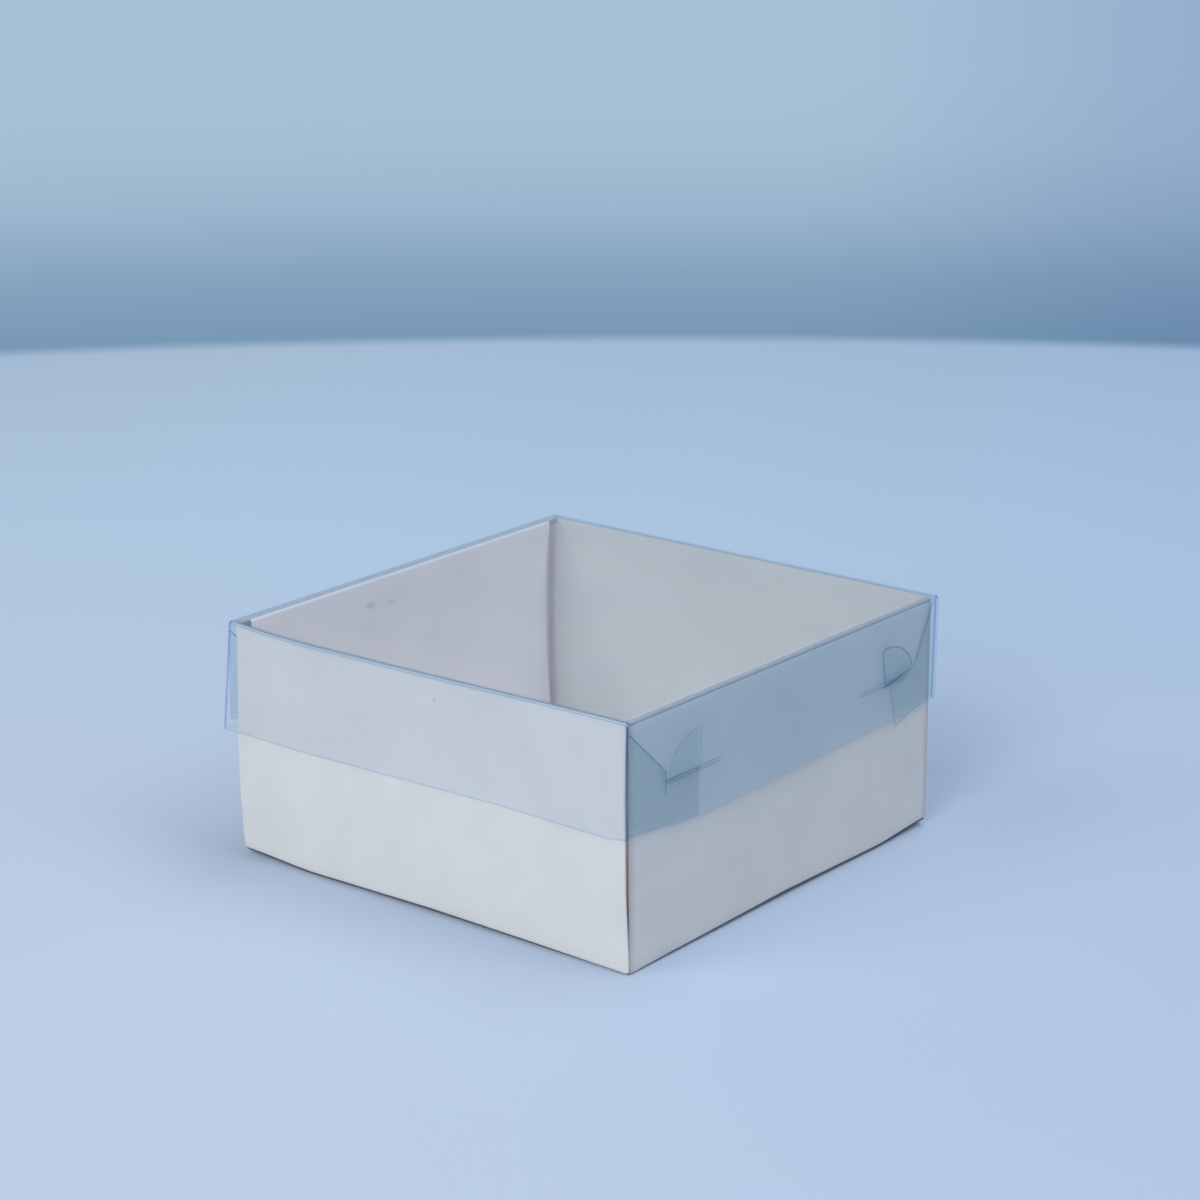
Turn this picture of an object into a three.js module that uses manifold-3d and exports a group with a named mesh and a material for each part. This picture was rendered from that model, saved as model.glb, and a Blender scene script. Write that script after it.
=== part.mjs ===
// A square favour box: a folded white board tray under a folded clear film lid.
// Each flat panel between two creases is its own solid, and neighbours meet at the crease.
// Millimetres, +Z up. The origin is the middle of the tray's underside.
// Front is -Y and right is +X. The left and right tray walls are the folded-over double ones.

import * as THREE from "three";
import { mergeVertices } from "three/addons/utils/BufferGeometryUtils.js";
import Module from "manifold-3d";

const wasm = await Module();
wasm.setup();

// Tray sizes
const trayLength = 80; // along X, over the outer walls
const trayWidth = 80; // along Y, over the outer walls
const trayHeight = 39.5; // floor to the top of the folded rims
const board = 0.375; // board thickness
const boardGap = 0.125; // air between two plies of board
const seamShort = 0.5; // a double wall's outer ply and rim stop this far short of the corner
const innerShort = 2; // the folded-in ply stops this far short of the rim's end
const innerFloorGap = 0.3; // under the folded-in ply
const webLength = 30; // corner web, from its fold to its free end
const webTopGap = 0.5; // web under the rim, at its fold
const webBottomGap = 0.5; // web over the floor, at its fold
const webTopSlope = 4; // drop of the web's top edge over its length
const webBottomSlope = 2; // rise of the web's bottom edge over its length

// Lid sizes
const film = 0.25; // film thickness
const lidFit = 0.2; // air between the tray and the lid's innermost ply
const filmGap = 0.05; // air between two plies of film
const lidDepth = 18.6; // outside height of the lid
const flapLength = 17; // corner flap, from its fold to its free end
const flapTopDrop = 1.7; // the flap's top edge starts this far below the lid's top
const slitDrop = 11.4; // slit's middle below the lid's top
const slitLength = 13.6;
const slitPlay = 0.2; // clear space round the film in the slit
const tongueWidth = 7.9;
const tongueHeight = 6.5;
const tongueArcSteps = 12;

// Planes of the tray
const halfLength = trayLength / 2;
const halfWidth = trayWidth / 2;
const webOuter = halfLength - board - boardGap; // outer face of the corner webs
const innerOuter = webOuter - board - boardGap; // outer face of the folded-in ply
const innerFace = innerOuter - board; // face that lines the tray, and the rim's inner edge
const rimUnderside = trayHeight - board;
const seamHalf = halfWidth - seamShort; // half length of a double wall's outer ply and rim
const innerHalf = seamHalf - innerShort;

// Planes of the lid
const lidTop = trayHeight + film;
const lidRim = lidTop - lidDepth;
const flapInner = halfLength + lidFit;
const flapOuter = flapInner + film;
const sideInner = flapOuter + filmGap; // inner face of the slitted left and right walls
const sideOuter = sideInner + film;
const tongueInner = sideOuter + filmGap;
const tongueOuter = tongueInner + film;
const endInner = halfWidth + lidFit + film + filmGap; // inner face of the front and back walls
const endOuter = endInner + film;

// Heights and lengths of the slit lock, along a side wall from the corner fold
const slitMiddle = lidTop - slitDrop;
const flapShoulder = slitMiddle + film / 2; // the flap's top where the tongue leaves it
const tongueStart = flapLength - tongueWidth;
const slitStart = tongueStart - slitPlay;
const slitHalfHeight = film / 2 + slitPlay;
const cutterDepth = 3 * film; // a slit's cutter runs past both faces of the wall

const boardMaterial = new THREE.MeshStandardMaterial({
  color: new THREE.Color(0.87, 0.87, 0.87),
  roughness: 0.85,
  metalness: 0,
});
const filmMaterial = new THREE.MeshStandardMaterial({
  color: new THREE.Color(0.72, 0.82, 0.92),
  roughness: 0.12,
  metalness: 0,
  transparent: true,
  opacity: 0.3,
});

const SIDES = [
  { name: "right", sign: 1 },
  { name: "left", sign: -1 },
];
const ENDS = [
  { name: "front", sign: -1 },
  { name: "back", sign: 1 },
];

// Local axes of a flat panel: its outline lies in the first two, its thickness along the third.
const X = new THREE.Vector3(1, 0, 0);
const Y = new THREE.Vector3(0, 1, 0);
const Z = new THREE.Vector3(0, 0, 1);
const LYING = [X, Y, Z];
const FACING_X = [Y, Z, X];
const FACING_Y = [X, Z, Y.clone().negate()];

function outlineOf(points) {
  return new THREE.Shape(points.map(([u, v]) => new THREE.Vector2(u, v)));
}

function rectangle(u0, v0, u1, v1) {
  return outlineOf([
    [u0, v0],
    [u1, v0],
    [u1, v1],
    [u0, v1],
  ]);
}

function sheetGeometry(outline, thickness, curveSegments = 1) {
  return new THREE.ExtrudeGeometry(outline, { depth: thickness, bevelEnabled: false, curveSegments });
}

// The low face of a sheet whose outer face is this far out on the side of the sign.
function lowFace(sign, outer, thickness) {
  return sign > 0 ? outer - thickness : -outer;
}

function place(geometry, name, material, axes, position) {
  const mesh = new THREE.Mesh(geometry, material);
  mesh.name = name;
  mesh.quaternion.setFromRotationMatrix(new THREE.Matrix4().makeBasis(...axes));
  mesh.position.set(...position);
  return mesh;
}

function sheetFacingX(name, material, outline, sign, outer, thickness, curveSegments) {
  const geometry = sheetGeometry(outline, thickness, curveSegments);
  return place(geometry, name, material, FACING_X, [lowFace(sign, outer, thickness), 0, 0]);
}

// The extrusion of a sheet that faces Y runs towards -Y, so it starts at its high face.
function sheetFacingY(name, material, outline, sign, outer, thickness) {
  const highFace = lowFace(sign, outer, thickness) + thickness;
  return place(sheetGeometry(outline, thickness), name, material, FACING_Y, [0, highFace, 0]);
}

function sheetLying(name, material, outline, bottom, thickness) {
  return place(sheetGeometry(outline, thickness), name, material, LYING, [0, 0, bottom]);
}

// A solid for joining, from a closed geometry in the place where its mesh stands.
function solidFrom(mesh) {
  mesh.updateMatrixWorld(true);
  const bare = new THREE.BufferGeometry();
  bare.setAttribute("position", mesh.geometry.getAttribute("position").clone());
  bare.applyMatrix4(mesh.matrixWorld);
  const merged = mergeVertices(bare);
  return new wasm.Manifold(
    new wasm.Mesh({
      numProp: 3,
      vertProperties: merged.attributes.position.array,
      triVerts: new Uint32Array(merged.index.array),
    }),
  );
}

function meshFrom(solid, name, material) {
  const result = solid.getMesh();
  const geometry = new THREE.BufferGeometry();
  geometry.setAttribute("position", new THREE.BufferAttribute(result.vertProperties, 3));
  geometry.setIndex(new THREE.BufferAttribute(result.triVerts, 1));
  return place(geometry, name, material, LYING, [0, 0, 0]);
}

// The tray's floor, which every wall stands on
function trayFloor() {
  const outline = rectangle(-halfLength, -halfWidth, halfLength, halfWidth);
  return sheetLying("tray_floor", boardMaterial, outline, 0, board);
}

// The single front and back walls reach the fold of their corner webs.
function traySingleWall(end) {
  const outline = rectangle(-webOuter, board, webOuter, trayHeight);
  return sheetFacingY(`tray_${end.name}_wall`, boardMaterial, outline, end.sign, halfWidth, board);
}

// A corner web turns in from the end of a single wall, between the two plies of a double wall.
function cornerWeb(end, side) {
  const fold = halfWidth - board;
  const free = fold - webLength;
  const top = rimUnderside - webTopGap;
  const bottom = board + webBottomGap;
  const outline = outlineOf([
    [end.sign * fold, bottom],
    [end.sign * fold, top],
    [end.sign * free, top - webTopSlope],
    [end.sign * free, bottom + webBottomSlope],
  ]);
  const name = `corner_web_${end.name}_${side.name}`;
  return sheetFacingX(name, boardMaterial, outline, side.sign, webOuter, board);
}

// The outer ply of a double wall leaves the fold of the corner webs bare at its ends.
function trayOuterPly(side) {
  const outline = rectangle(-seamHalf, board, seamHalf, rimUnderside);
  const name = `tray_${side.name}_outer_wall`;
  return sheetFacingX(name, boardMaterial, outline, side.sign, halfLength, board);
}

function foldedRim(side) {
  const near = side.sign * innerFace;
  const far = side.sign * halfLength;
  const outline = rectangle(Math.min(near, far), -seamHalf, Math.max(near, far), seamHalf);
  return sheetLying(`${side.name}_folded_rim`, boardMaterial, outline, rimUnderside, board);
}

// The folded-in ply hangs from the rim's inner crease and lines the tray.
function trayInnerPly(side) {
  const outline = rectangle(-innerHalf, board + innerFloorGap, innerHalf, rimUnderside);
  const name = `tray_${side.name}_inner_wall`;
  return sheetFacingX(name, boardMaterial, outline, side.sign, innerOuter, board);
}

function lidTopPanel() {
  const outline = rectangle(-sideOuter, -endOuter, sideOuter, endOuter);
  return sheetLying("lid_top", filmMaterial, outline, trayHeight, film);
}

// The lid's front and back walls reach the fold of their corner flaps.
function lidPlainWall(end) {
  const outline = rectangle(-flapOuter, lidRim, flapOuter, trayHeight);
  return sheetFacingY(`lid_${end.name}_wall`, filmMaterial, outline, end.sign, endOuter, film);
}

// The lid's left and right walls each have a slit near either corner.
function lidSlittedWall(side) {
  const name = `lid_${side.name}_wall`;
  const outline = rectangle(-endOuter, lidRim, endOuter, trayHeight);
  let wall = solidFrom(sheetFacingX(name, filmMaterial, outline, side.sign, sideOuter, film));
  for (const end of ENDS) {
    const near = end.sign * (endInner - slitStart);
    const far = end.sign * (endInner - slitStart - slitLength);
    const low = slitMiddle - slitHalfHeight;
    const high = slitMiddle + slitHalfHeight;
    const slit = rectangle(Math.min(near, far), low, Math.max(near, far), high);
    const cutter = sheetFacingX(name, filmMaterial, slit, side.sign, sideOuter + film, cutterDepth);
    wall = wall.subtract(solidFrom(cutter));
  }
  return meshFrom(wall, name, filmMaterial);
}

// A corner flap lies inside a slitted wall. Its neck crosses the slit and carries the tongue.
function cornerFlap(end, side) {
  const name = `lid_flap_${end.name}_${side.name}`;
  const fold = end.sign * endInner;
  const start = end.sign * (endInner - tongueStart);
  const free = end.sign * (endInner - flapLength);
  const plate = sheetFacingX(
    name,
    filmMaterial,
    outlineOf([
      [fold, lidRim],
      [free, lidRim],
      [free, flapShoulder],
      [start, flapShoulder],
      [fold, lidTop - flapTopDrop],
    ]),
    side.sign,
    flapOuter,
    film,
  );
  const inner = side.sign * flapInner;
  const outer = side.sign * tongueOuter;
  const neckOutline = rectangle(
    Math.min(inner, outer),
    Math.min(start, free),
    Math.max(inner, outer),
    Math.max(start, free),
  );
  const neck = sheetLying(name, filmMaterial, neckOutline, flapShoulder - film, film);
  return meshFrom(solidFrom(plate).add(solidFrom(neck)), name, filmMaterial);
}

// A tongue is a quarter of an ellipse with its straight edge in line with the flap's free end.
function lockTongue(end, side) {
  const start = end.sign * (endInner - tongueStart);
  const free = end.sign * (endInner - flapLength);
  const outline = new THREE.Shape();
  outline.moveTo(start, flapShoulder);
  outline.lineTo(free, flapShoulder);
  outline.lineTo(free, flapShoulder + tongueHeight);
  const from = Math.PI / 2;
  const to = end.sign < 0 ? Math.PI : 0;
  outline.absellipse(free, flapShoulder, tongueWidth, tongueHeight, from, to, end.sign > 0);
  const name = `lock_tongue_${end.name}_${side.name}`;
  return sheetFacingX(name, filmMaterial, outline, side.sign, tongueOuter, film, tongueArcSteps);
}

const tray = new THREE.Group();
const lid = new THREE.Group();
tray.add(trayFloor());
lid.add(lidTopPanel());
for (const end of ENDS) {
  tray.add(traySingleWall(end));
  lid.add(lidPlainWall(end));
}
for (const side of SIDES) {
  tray.add(trayOuterPly(side), foldedRim(side), trayInnerPly(side));
  lid.add(lidSlittedWall(side));
  for (const end of ENDS) {
    tray.add(cornerWeb(end, side));
    lid.add(cornerFlap(end, side), lockTongue(end, side));
  }
}

const box = new THREE.Group();
box.add(tray, lid);
export default box;
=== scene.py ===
from contextlib import contextmanager
from math import pi, radians

import bmesh
import bpy
from mathutils import Matrix, Vector


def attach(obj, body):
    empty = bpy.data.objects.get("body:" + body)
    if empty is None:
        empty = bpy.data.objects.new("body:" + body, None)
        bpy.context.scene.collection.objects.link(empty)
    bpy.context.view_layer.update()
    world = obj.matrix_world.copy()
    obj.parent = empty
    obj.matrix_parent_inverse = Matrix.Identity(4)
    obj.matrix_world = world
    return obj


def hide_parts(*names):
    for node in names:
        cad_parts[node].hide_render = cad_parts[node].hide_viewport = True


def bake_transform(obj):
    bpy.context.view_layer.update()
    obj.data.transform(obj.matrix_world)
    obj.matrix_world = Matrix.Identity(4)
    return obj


# A favour box: a folded white board tray under a lid folded from clear film.
# Each panel of the two blanks is a piece of its own, and lengths are in millimetres.
# Front is -Y and right is +X, as in the frame.

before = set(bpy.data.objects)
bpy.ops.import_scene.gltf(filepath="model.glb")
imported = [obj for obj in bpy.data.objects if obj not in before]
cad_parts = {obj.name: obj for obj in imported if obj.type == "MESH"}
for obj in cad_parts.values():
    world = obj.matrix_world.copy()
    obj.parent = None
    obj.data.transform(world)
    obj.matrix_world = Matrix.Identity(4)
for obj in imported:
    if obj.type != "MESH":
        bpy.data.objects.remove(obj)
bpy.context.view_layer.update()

MM = 0.001
HAIR = 0.01  # slack when places are compared

# Tray
HALF = 40.0  # outer faces of the walls
TRAY_TOP = 39.47  # just under the film that rests on it
BOARD = 0.375
BOARD_SOFTNESS = 0.05  # bevel along the board's cut edges
BOARD_GRID = (48, 24)  # faces along and up a wall
FOOT = 0.4  # outer radius of the folds along the bottom
WEB_FACE = 39.5  # outer face of the corner webs
INNER_FACE = 38.625  # face of the folded-in plies that lines the tray
CORNER_FOOT = 0.12  # where the upright folds end above the floor
WEB_FREE_END = 9.625  # a corner web's free end, from the middle
WEB_SPAN = (0.875, 38.625)  # bottom and top of a web at its fold
WEB_LENGTH = 30
WEB_DROP, WEB_RISE = 4, 2  # of its top and bottom edges over that length
WALL_FOLD = 0.3  # outer radius of the upright folds
RIM_FOLD = 0.45  # outer radius of the folds along a rim
SEAM_END = 39.5  # half length of a double wall's outer ply
INNER_END = 37.5  # half length of a folded-in ply
INNER_FOOT = 0.675  # bottom of a folded-in ply

# Lid
FILM = 0.25
FILM_SOFTNESS = 0.03  # bevel along the film's cut edges
FILM_GRID = (48, 12)
LID_TOP = 39.75
LID_RIM = 21.15
LID_SIDE = 40.75  # outer faces of the lid's walls
FLAP_FACE = 40.45  # outer face of the corner flaps
TONGUE_FACE = 41.05
LID_FOLD = 0.4  # outer radius of the film's folds
SLIT = (18.2, 31.7, 28.02, 28.44)  # nearest and furthest from the middle, bottom and top
SLIT_ROUND = 0.2
FLAP_END = 23.5
FLAP_DROP = 1.7  # from the lid's top to a flap's own top
TONGUE_FOOT = (23.5, 31.4)
TONGUE_ROUND = 0.9
TOP_STRIP = 0.55  # width of the dense strip along the front fold of the lid
CUT_STRIP = 0.16  # width of the dense strip along a cut edge of the film
SLANT = 0.6  # of a strip's width, measured along each axis of a slanted edge
LOCK_TOP = 34.975
DIAGONAL_LOW = 29.8  # where a flap's slanted edge ends
TURN_FLAP = (14.3, 3.8, 0)  # how the back right lock was pushed askew: degrees, slide and rise
TURNED_END = 34.8  # nearer the middle the askew flap ends below the slit
TURNED_NECK = (40.47, 28.1)  # there the tongue reaches its flap by itself
TURN_TONGUE = (8.9, 1.85, -0.56)
SPRUNG = 2.4  # how far the front left fold of the lid has sprung out at the rim
SPRUNG_SPAN = (41.45, LID_RIM)  # height at which it would meet the corner, and the rim
FRONT_SAG = ((-41, 0), (-38.6, -0.02), (-33, -0.5), (-25, -0.65), (-4, -0.55), (16, -0.27), (35, 0))

# How far the walls' feet are lifted, at each distance along the front and along the side
FRONT_LIFT = ((-40, 0.3), (-25, 0.38), (0, 0.62), (20, 0.4), (39, 0.02))
SIDE_LIFT = ((-39.5, 0), (-30, 0.25), (0, 0.72), (25, 0.45), (40, 0.4))

# How far the corners of the tray have moved at each height
FRONT_SEAM = ((0.4, 0.38), (5.7, 0.17), (12, -0.15), (20, -0.22), (27.5, -0.28), (34, -0.14), (37, 0))
LEFT_BULGE = ((0, 0.1), (5.5, -0.28), (12.5, -0.6), (21.5, -0.55), (30, -0.22), (36, 0))
BACK_BULGE = ((0, -0.3), (8, -0.6), (24, -0.65), (33, -0.4), (38, -0.1))
FAR_CORNER_BULGE = ((0, -0.5), (9, -1.1), (17, -1.8), (28, -1.9), (34, -1.4), (38.5, -0.5))

# Shares of a shift, up to each distance from the shifted edge
BOW_SHARES = ((0.35, 1), (2, 0.8), (4, 0.5), (6, 0.25), (8, 0.1))
WAVE_SHARES = ((0.5, 1), (1.6, 0.8), (2.7, 0.6), (3.7, 0.4), (4.8, 0.2))
SPRUNG_SHARES = ((0.5, 1), (1.5, 0.72), (2.6, 0.45), (3.6, 0.2), (4.7, 0.06))
SAG_SHARES = ((-40.3, 1), (-39.5, 0.97), (-37.5, 0.75), (-35.5, 0.45), (-33.5, 0.2))  # up to each y

NECK = [  # outer face of a lock's film on its way out through the slit: x and z
    (FLAP_FACE, 27.85),
    (40.52, 28.05),
    (40.75, 28.25),
    (40.98, 28.45),
    (TONGUE_FACE, 28.65),
]

FACING = {
    "right": (pi / 2, 0, pi / 2),
    "left": (pi / 2, 0, -pi / 2),
    "front": (pi / 2, 0, 0),
    "back": (pi / 2, 0, pi),
    "up": (0, 0, 0),
    "down": (pi, 0, 0),
}
OUTWARD = {
    "right": Vector((1, 0, 0)),
    "left": Vector((-1, 0, 0)),
    "front": Vector((0, -1, 0)),
    "back": Vector((0, 1, 0)),
    "up": Vector((0, 0, 1)),
    "down": Vector((0, 0, -1)),
}


# Modelling tools

def leave_edit_mode():
    if bpy.context.mode != "OBJECT":
        bpy.ops.object.mode_set(mode="OBJECT")


def select_only(piece):
    leave_edit_mode()
    bpy.ops.object.select_all(action="DESELECT")
    piece.select_set(True)
    bpy.context.view_layer.objects.active = piece


@contextmanager
def editing(piece):
    select_only(piece)
    bpy.ops.object.mode_set(mode="EDIT")
    yield
    bpy.ops.object.mode_set(mode="OBJECT")


def in_metres(point):
    return [value * MM for value in point]


def lay_sheet(name, facing, plane, across, along, columns, rows):
    """A flat grid with its outer face on a plane; across and along are its spans."""
    leave_edit_mode()
    bpy.ops.object.select_all(action="DESELECT")
    u, v = sum(across) / 2, sum(along) / 2
    if facing in ("right", "left"):
        middle = (plane, u, v)
    elif facing in ("front", "back"):
        middle = (u, plane, v)
    else:
        middle = (u, v, plane)
    bpy.ops.mesh.primitive_grid_add(
        x_subdivisions=columns,
        y_subdivisions=rows,
        size=1,
        location=in_metres(middle),
        rotation=FACING[facing],
    )
    piece = bpy.context.active_object
    piece.name = piece.data.name = name
    piece.scale = ((across[1] - across[0]) * MM, (along[1] - along[0]) * MM, 1)
    bpy.ops.object.transform_apply(location=True, rotation=True, scale=True)
    return piece


def pick(piece, kind, test):
    """Selects the vertices, edges or faces whose middle, in millimetres, passes a test."""
    bpy.ops.mesh.select_mode(type=kind)
    bpy.ops.mesh.select_all(action="DESELECT")
    shape = bmesh.from_edit_mesh(piece.data)
    if kind == "VERT":
        places = [(vertex, vertex.co) for vertex in shape.verts]
    elif kind == "EDGE":
        places = [(edge, (edge.verts[0].co + edge.verts[1].co) / 2) for edge in shape.edges]
    else:
        places = [(face, face.calc_center_median()) for face in shape.faces]
    for item, place in places:
        if test(place / MM):
            item.select_set(True)
    bmesh.update_edit_mesh(piece.data)


def fold_edge(piece, test, centre, axis, angle, steps=5):
    """Turns the edges that pass a test round an axis, as a rounded fold."""
    with editing(piece):
        pick(piece, "EDGE", test)
        bpy.ops.mesh.spin(steps=steps, angle=-angle, center=in_metres(centre), axis=axis)


def push(piece, at, by, reach, falloff="SMOOTH"):
    """Pulls the vertex nearest a point, and less and less of what lies within reach."""
    with editing(piece):
        bpy.ops.mesh.select_mode(type="VERT")
        bpy.ops.mesh.select_all(action="DESELECT")
        shape = bmesh.from_edit_mesh(piece.data)
        point = Vector(in_metres(at))
        nearest = min(shape.verts, key=lambda vertex: (vertex.co - point).length)
        nearest.select_set(True)
        bmesh.update_edit_mesh(piece.data)
        bpy.ops.transform.translate(
            value=in_metres(by),
            use_proportional_edit=True,
            proportional_edit_falloff=falloff,
            proportional_size=reach * MM,
        )


def push_all(piece, pushes):
    for given in pushes:
        push(piece, *given)


def shift_rows(piece, test, axis, way):
    """Moves the vertices that pass a test, each row along an axis by what the way gives there."""
    with editing(piece):
        bpy.ops.mesh.select_mode(type="VERT")
        shape = bmesh.from_edit_mesh(piece.data)
        rows = {}
        for vertex in shape.verts:
            place = vertex.co / MM
            if test(place):
                rows.setdefault(round(place[axis], 2), []).append(vertex.index)
        for row, members in rows.items():
            bpy.ops.mesh.select_all(action="DESELECT")
            shape = bmesh.from_edit_mesh(piece.data)
            shape.verts.ensure_lookup_table()
            for index in members:
                shape.verts[index].select_set(True)
            bmesh.update_edit_mesh(piece.data)
            bpy.ops.transform.translate(value=in_metres(way(row)))


def shift_bands(piece, depth, bands, axis, way):
    """Shifts rows band by band. Depth is how far in a vertex lies, as it is before any shift."""
    before = [vertex.co / MM for vertex in piece.data.vertices]
    depths = [depth(place) for place in before]
    start = min(depths)
    with editing(piece):
        bpy.ops.mesh.select_mode(type="VERT")
        near = -HAIR
        for reach, share in bands:
            rows = {}
            for index, place in enumerate(before):
                if near < depths[index] - start <= reach:
                    rows.setdefault(round(place[axis], 2), []).append(index)
            for row, members in rows.items():
                bpy.ops.mesh.select_all(action="DESELECT")
                shape = bmesh.from_edit_mesh(piece.data)
                shape.verts.ensure_lookup_table()
                for index in members:
                    shape.verts[index].select_set(True)
                bmesh.update_edit_mesh(piece.data)
                bpy.ops.transform.translate(value=in_metres(Vector(way(row)) * share))
            near = reach


def bow(piece, corner, table, way=(1, 0, 0)):
    """Moves an upright edge by what the table gives at each height, and less further along."""
    shift_bands(
        piece,
        lambda p: -(corner[0] * p.x + corner[1] * p.y),
        BOW_SHARES,
        2,
        lambda z: Vector(way) * read_off(table, z),
    )


def between(value, low, high):
    """0 at the low value, 1 at the high one, and straight in between."""
    return min(1, max(0, (value - low) / (high - low)))


def read_off(table, value):
    """The value of a line through the table's points, held beyond its ends."""
    for (x0, y0), (x1, y1) in zip(table, table[1:]):
        if value <= x1:
            return y0 + (y1 - y0) * between(value, x0, x1)
    return table[-1][1]


def cut_line(piece, point, normal, drop=False, within=None):
    """Cuts a line across a piece, and drops what lies on the side of the normal if asked."""
    with editing(piece):
        bpy.ops.mesh.select_all(action="SELECT")
        if within:
            pick(piece, "FACE", within)
        bpy.ops.mesh.bisect(
            plane_co=in_metres(point),
            plane_no=Vector(normal).normalized(),
            clear_outer=drop,
            threshold=0.000001,
        )


def take_out(piece, test):
    with editing(piece):
        pick(piece, "FACE", test)
        bpy.ops.mesh.delete(type="FACE")


def mark_faces(piece, test, slot):
    with editing(piece):
        pick(piece, "FACE", test)
        piece.active_material_index = slot
        bpy.ops.object.material_slot_assign()


def turn_outward(piece, facing):
    """Makes the faces agree, and turns them all so that most face one way."""
    with editing(piece):
        bpy.ops.mesh.select_all(action="SELECT")
        bpy.ops.mesh.normals_make_consistent(inside=False)
        shape = bmesh.from_edit_mesh(piece.data)
        way = sum((face.normal * face.calc_area() for face in shape.faces), Vector())
        if way.dot(OUTWARD[facing]) < 0:
            bpy.ops.mesh.flip_normals()


def finish_sheet(piece, facing, thickness, softness):
    """Gives a sheet its thickness, inward from its outer face, and softens its cut edges."""
    turn_outward(piece, facing)
    select_only(piece)
    shell = piece.modifiers.new("thickness", "SOLIDIFY")
    shell.thickness = thickness * MM
    shell.offset = -1
    shell.use_even_offset = True
    shell.material_offset_rim = 1
    bpy.ops.object.modifier_apply(modifier=shell.name)
    soft = piece.modifiers.new("soft edges", "BEVEL")
    soft.width = softness * MM
    soft.segments = 2
    soft.limit_method = "ANGLE"
    soft.angle_limit = radians(60)
    bpy.ops.object.modifier_apply(modifier=soft.name)
    bpy.ops.object.shade_smooth_by_angle(angle=radians(40))


def give_materials(piece, *materials):
    for material in materials:
        piece.data.materials.append(material)


# Shader tools

def new_material(name):
    material = bpy.data.materials.new(name)
    material.use_nodes = True
    material.node_tree.nodes.clear()
    return material


def add(tree, kind, **settings):
    made = tree.nodes.new(kind)
    for name, value in settings.items():
        setattr(made, name, value)
    return made


def fill(made, **values):
    for name, value in values.items():
        made.inputs[name.replace("_", " ")].default_value = value
    return made


def colour(red, green, blue):
    """A colour from screen values of 0 to 255."""
    linear = []
    for value in (red, green, blue):
        share = value / 255
        linear.append(share / 12.92 if share <= 0.04045 else ((share + 0.055) / 1.055) ** 2.4)
    return (*linear, 1)


def new_group(name, inputs, outputs):
    group = bpy.data.node_groups.new(name, "ShaderNodeTree")
    for label, kind, value in inputs:
        socket = group.interface.new_socket(name=label, in_out="INPUT", socket_type=kind)
        socket.default_value = value
    for label, kind in outputs:
        group.interface.new_socket(name=label, in_out="OUTPUT", socket_type=kind)
    return group, add(group, "NodeGroupInput"), add(group, "NodeGroupOutput")


def board_fibre_group():
    """Fine fibre and soft clouding of uncoated board, from the place on the piece."""
    group, given, result = new_group(
        "board_fibre",
        [
            ("Paper", "NodeSocketColor", colour(222, 226, 232)),
            ("Shade", "NodeSocketColor", colour(206, 210, 218)),
            ("Fibre Size", "NodeSocketFloat", 0.45),
            ("Cloud Size", "NodeSocketFloat", 9.0),
            ("Cloud Amount", "NodeSocketFloat", 0.5),
        ],
        [
            ("Color", "NodeSocketColor"),
            ("Roughness", "NodeSocketFloat"),
            ("Height", "NodeSocketFloat"),
        ],
    )
    link = group.links.new
    place = add(group, "ShaderNodeTexCoord")
    to_mm = add(group, "ShaderNodeVectorMath", operation="SCALE")
    fill(to_mm, Scale=1 / MM)
    link(place.outputs["Object"], to_mm.inputs[0])
    fibre_scale = add(group, "ShaderNodeMath", operation="DIVIDE")
    fibre_scale.inputs[0].default_value = 1
    link(given.outputs["Fibre Size"], fibre_scale.inputs[1])
    cloud_scale = add(group, "ShaderNodeMath", operation="DIVIDE")
    cloud_scale.inputs[0].default_value = 1
    link(given.outputs["Cloud Size"], cloud_scale.inputs[1])
    fibre = fill(add(group, "ShaderNodeTexNoise"), Detail=4, Roughness=0.6, Distortion=0.8)
    link(to_mm.outputs[0], fibre.inputs["Vector"])
    link(fibre_scale.outputs[0], fibre.inputs["Scale"])
    cloud = fill(add(group, "ShaderNodeTexNoise"), Detail=3, Roughness=0.5)
    link(to_mm.outputs[0], cloud.inputs["Vector"])
    link(cloud_scale.outputs[0], cloud.inputs["Scale"])
    mixed = add(group, "ShaderNodeMix", data_type="FLOAT")
    link(given.outputs["Cloud Amount"], mixed.inputs["Factor"])
    link(fibre.outputs["Fac"], mixed.inputs[2])
    link(cloud.outputs["Fac"], mixed.inputs[3])
    spread = fill(add(group, "ShaderNodeMapRange"), From_Min=0.36, From_Max=0.64)
    link(mixed.outputs[0], spread.inputs["Value"])
    tint = add(group, "ShaderNodeMix", data_type="RGBA")
    link(spread.outputs["Result"], tint.inputs["Factor"])
    link(given.outputs["Paper"], tint.inputs[6])
    link(given.outputs["Shade"], tint.inputs[7])
    rough = fill(add(group, "ShaderNodeMapRange"), To_Min=0.62, To_Max=0.8)
    link(fibre.outputs["Fac"], rough.inputs["Value"])
    link(tint.outputs[2], result.inputs["Color"])
    link(rough.outputs["Result"], result.inputs["Roughness"])
    link(fibre.outputs["Fac"], result.inputs["Height"])
    return group


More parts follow.
